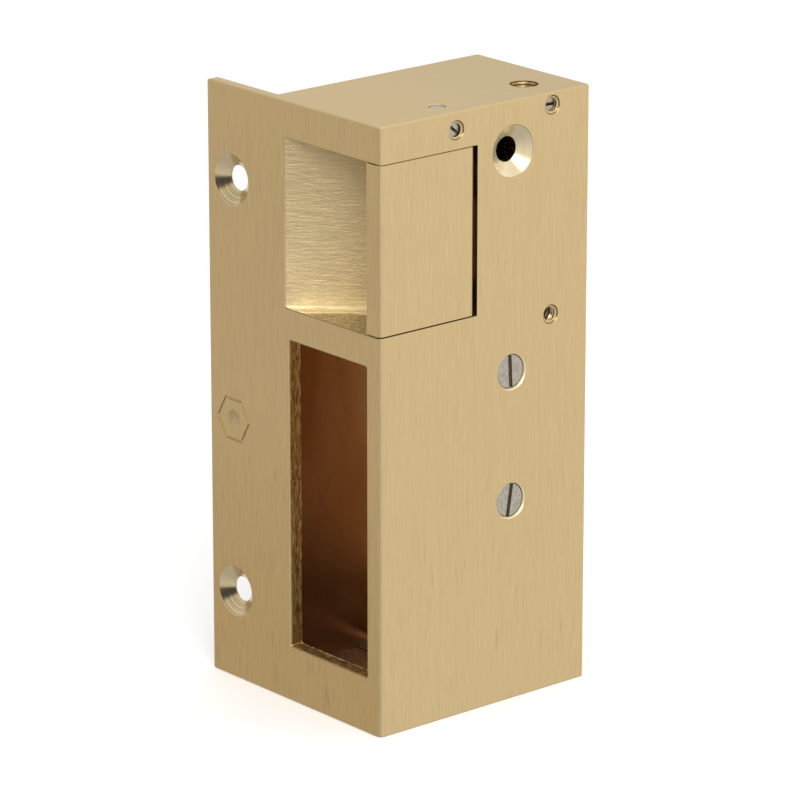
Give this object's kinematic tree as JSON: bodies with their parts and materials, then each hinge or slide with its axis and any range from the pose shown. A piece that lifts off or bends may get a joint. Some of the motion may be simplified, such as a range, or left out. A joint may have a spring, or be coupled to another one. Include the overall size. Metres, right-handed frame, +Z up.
{
  "type": "electric door strike",
  "caption": "Surface-mounted electric door strike: brass block with flange, sprung swinging keeper, deadbolt pocket and a solenoid-blocked locking lever inside.",
  "frame": {"origin": "centre of the bounding box's bottom face", "axes": "+Z up along the strike's length, -Y out of the front face that meets the lock, +X out of the side face that looks into the room"},
  "size_m": [0.046, 0.047, 0.108],
  "materials": {
    "satin_brass": "fine vertical brushing",
    "bare_brass": "machined",
    "steel": "turned",
    "spring_steel": "drawn wire",
    "zinc_steel": "zinc plated",
    "black_plastic": "moulded",
    "white_plastic": "moulded",
    "coil_wire": "enamelled copper winding",
    "tape": "polyester film tape",
    "rubber": "matte",
    "lead_insulation": "wire insulation"
  },
  "bodies": {
    "housing": {"strike_body": "satin_brass", "back_cover": "satin_brass", "cover_screws": "bare_brass", "cable_grommet": "rubber", "keeper_pin": "steel", "lever_pin": "steel", "solenoid_frame": "zinc_steel", "solenoid_bobbin": "black_plastic", "solenoid_winding": "coil_wire", "winding_tape": "tape", "fixed_pole": "zinc_steel", "solenoid_screws": "steel", "set_screws": "steel", "top_plug_screw": "bare_brass", "terminal_block": "white_plastic", "terminal_inserts": "bare_brass", "terminal_screws": "steel", "terminal_fixing_screw": "steel", "coil_leads": "lead_insulation"},
    "keeper": {"keeper": "satin_brass", "keeper_spring": "spring_steel"},
    "locking_lever": {"locking_lever": "steel", "lever_spring": "spring_steel"},
    "plunger": {"plunger": "zinc_steel", "push_rod": "steel", "rod_clip": "spring_steel", "plunger_clip": "spring_steel", "plunger_spring": "spring_steel"}
  },
  "joints": [
    {"name": "keeper_swing", "type": "hinge", "parent": "housing", "child": "keeper", "pos_m": [0.0179, -0.0066, 0.0865], "axis": [0, 0, 1], "range_deg": [0, 60], "stiffness_Nm_per_rad": 0.02, "springref_deg": -22.92, "deforming": ["keeper_spring"]},
    {"name": "lever_swing", "type": "hinge", "parent": "housing", "child": "locking_lever", "pos_m": [0.0157, 0.015, 0.0832], "axis": [0, 0, 1], "range_deg": [-45, 0], "stiffness_Nm_per_rad": 0.005, "springref_deg": 17.19, "deforming": ["lever_spring"]},
    {"name": "plunger_slide", "type": "slide", "parent": "housing", "child": "plunger", "axis": [0, 0, 1], "range_m": [0, 0.0025], "stiffness_N_per_m": 80, "springref_m": -0.004, "deforming": ["plunger_spring"]}
  ],
  "couplings": [
    {"joint": "lever_swing", "follows": "keeper_swing", "ratio": -0.75}
  ]
}
